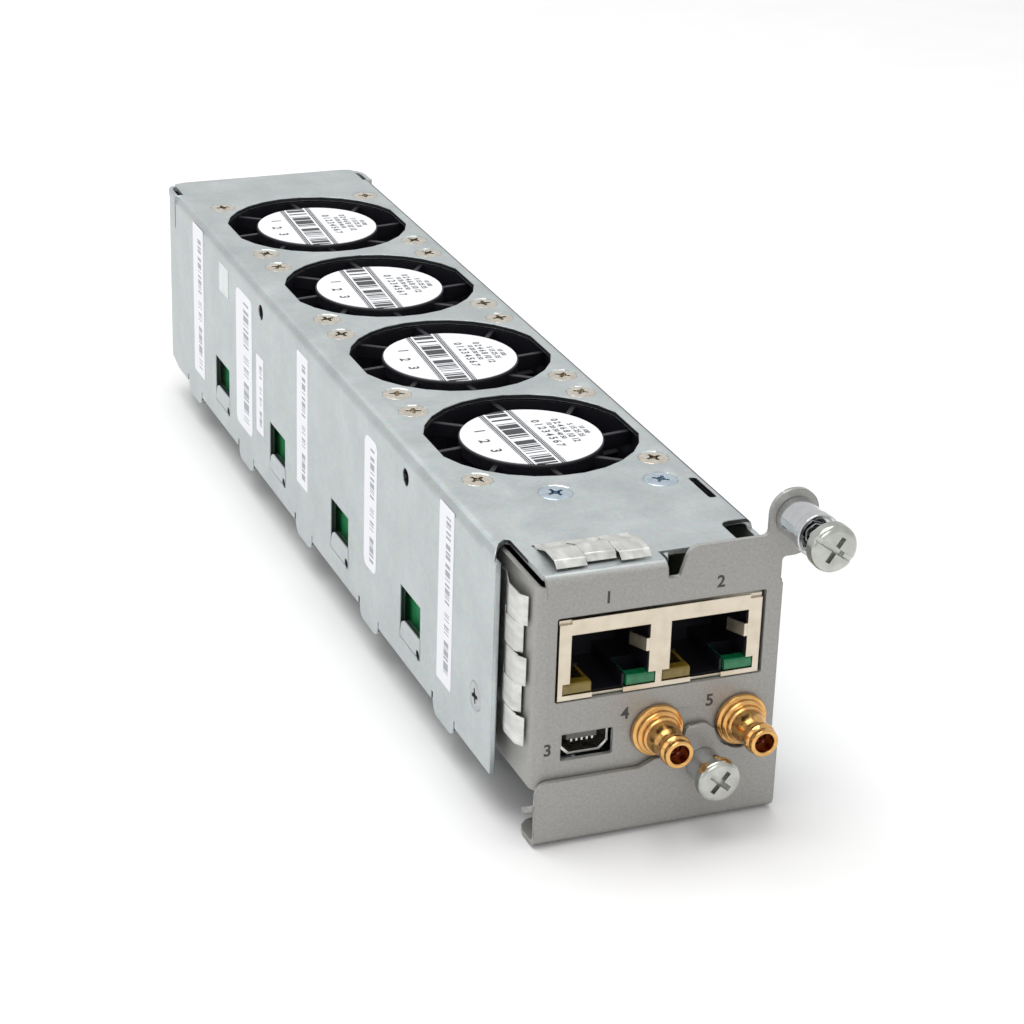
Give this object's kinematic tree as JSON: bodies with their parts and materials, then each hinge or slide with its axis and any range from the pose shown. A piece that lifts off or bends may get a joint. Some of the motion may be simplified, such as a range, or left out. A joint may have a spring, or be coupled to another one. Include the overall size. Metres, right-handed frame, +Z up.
{
  "type": "switch fan tray",
  "caption": "Slide-in fan tray of a network switch: bent sheet shell, row of fans, service ports, captive screws and pull-out air filter.",
  "frame": {"origin": "middle of the outer box, at the height of the filter lip's lower edge", "axes": "+Y from the front panel to the rear, +Z up, +X to the right seen from the front"},
  "size_m": [0.0448, 0.2022, 0.0505],
  "materials": {
    "zinc_sheet": "zinc-plated, satin",
    "finger_spring": "bright spring sheet",
    "fan_frame": "black moulded",
    "fan_blade": "black moulded",
    "nickel_screw": "nickel-plated",
    "zinc_screw": "bluish zinc plating",
    "tin_shield": "tinned sheet",
    "jack_plastic": "black moulded",
    "yellow_light": "tinted clear",
    "green_light": "tinted clear",
    "gold_contact": "gold-plated",
    "usb_metal": "tinned sheet",
    "usb_plastic": "grey moulded",
    "gold_body": "gold-plated, polished",
    "coax_inner": "dark insulator",
    "board": "green solder mask",
    "plug_plastic": "black moulded",
    "sleeve_steel": "bright plated",
    "screw_steel": "bright plated",
    "spring_wire": "drawn wire",
    "lip_sheet": "warm grey, satin",
    "filter_foam": "open foam"
  },
  "bodies": {
    "tray": {"shell": "zinc_sheet", "emi_strip_top": "finger_spring", "emi_strip_side": "finger_spring", "fan_housing_1": "fan_frame", "fan_housing_2": "fan_frame", "fan_housing_3": "fan_frame", "fan_housing_4": "fan_frame", "fan_screw_1a": "nickel_screw", "fan_screw_1b": "nickel_screw", "fan_screw_1c": "nickel_screw", "fan_screw_1d": "nickel_screw", "fan_screw_2a": "nickel_screw", "fan_screw_2b": "nickel_screw", "fan_screw_2c": "nickel_screw", "fan_screw_2d": "nickel_screw", "fan_screw_3a": "nickel_screw", "fan_screw_3b": "nickel_screw", "fan_screw_3c": "nickel_screw", "fan_screw_3d": "nickel_screw", "fan_screw_4a": "nickel_screw", "fan_screw_4b": "nickel_screw", "fan_screw_4c": "nickel_screw", "fan_screw_4d": "nickel_screw", "top_screw_1": "zinc_screw", "top_screw_2": "zinc_screw", "side_screw": "zinc_screw", "jack_shield": "tin_shield", "jack_housing": "jack_plastic", "light_yellow_1": "yellow_light", "light_yellow_2": "yellow_light", "light_green_1": "green_light", "light_green_2": "green_light", "jack_contacts_1": "gold_contact", "jack_contacts_2": "gold_contact", "usb_shell": "usb_metal", "usb_insulator": "usb_plastic", "coax_body_1": "gold_body", "coax_body_2": "gold_body", "coax_insulator_1": "coax_inner", "coax_insulator_2": "coax_inner", "port_board": "board", "lower_board": "board", "strip_board": "board", "rear_connector": "plug_plastic", "upper_sleeve": "sleeve_steel", "upper_spring": "spring_wire"},
    "rotor_1": {"fan_rotor_1": "fan_blade"},
    "rotor_2": {"fan_rotor_2": "fan_blade"},
    "rotor_3": {"fan_rotor_3": "fan_blade"},
    "rotor_4": {"fan_rotor_4": "fan_blade"},
    "filter": {"filter_frame": "lip_sheet", "filter_medium": "filter_foam", "lower_sleeve": "sleeve_steel", "lower_spring": "spring_wire"},
    "upper_carrier": {"upper_washer": "screw_steel"},
    "upper_driver": {"upper_screw": "screw_steel"},
    "lower_carrier": {"lower_washer": "screw_steel"},
    "lower_driver": {"lower_screw": "screw_steel"}
  },
  "joints": [
    {"name": "fan_1_spin", "type": "hinge", "parent": "tray", "child": "rotor_1", "pos_m": [-0.0013, -0.0392, 0.03], "axis": [0, 0, 1], "continuous": true},
    {"name": "fan_2_spin", "type": "hinge", "parent": "tray", "child": "rotor_2", "pos_m": [-0.0013, -0.003, 0.03], "axis": [0, 0, 1], "continuous": true},
    {"name": "fan_3_spin", "type": "hinge", "parent": "tray", "child": "rotor_3", "pos_m": [-0.0013, 0.0332, 0.03], "axis": [0, 0, 1], "continuous": true},
    {"name": "fan_4_spin", "type": "hinge", "parent": "tray", "child": "rotor_4", "pos_m": [-0.0013, 0.0694, 0.03], "axis": [0, 0, 1], "continuous": true},
    {"name": "filter_slide", "type": "slide", "parent": "tray", "child": "filter", "axis": [0, -1, 0], "range_m": [0, 0.18]},
    {"name": "upper_screw_press", "type": "slide", "parent": "tray", "child": "upper_carrier", "axis": [0, 1, 0], "range_m": [0, 0.0025], "stiffness_N_per_m": 200, "springref_m": -0.003, "deforming": ["upper_spring"]},
    {"name": "upper_screw_turn", "type": "hinge", "parent": "upper_carrier", "child": "upper_driver", "pos_m": [0.0187, -0.1, 0.0464], "axis": [0, 1, 0], "continuous": true},
    {"name": "lower_screw_draw", "type": "slide", "parent": "filter", "child": "lower_carrier", "axis": [0, -1, 0], "range_m": [0, 0.003], "deforming": ["lower_spring"]},
    {"name": "lower_screw_turn", "type": "hinge", "parent": "lower_carrier", "child": "lower_driver", "pos_m": [0.0062, -0.095, 0.0095], "axis": [0, 1, 0], "continuous": true}
  ]
}
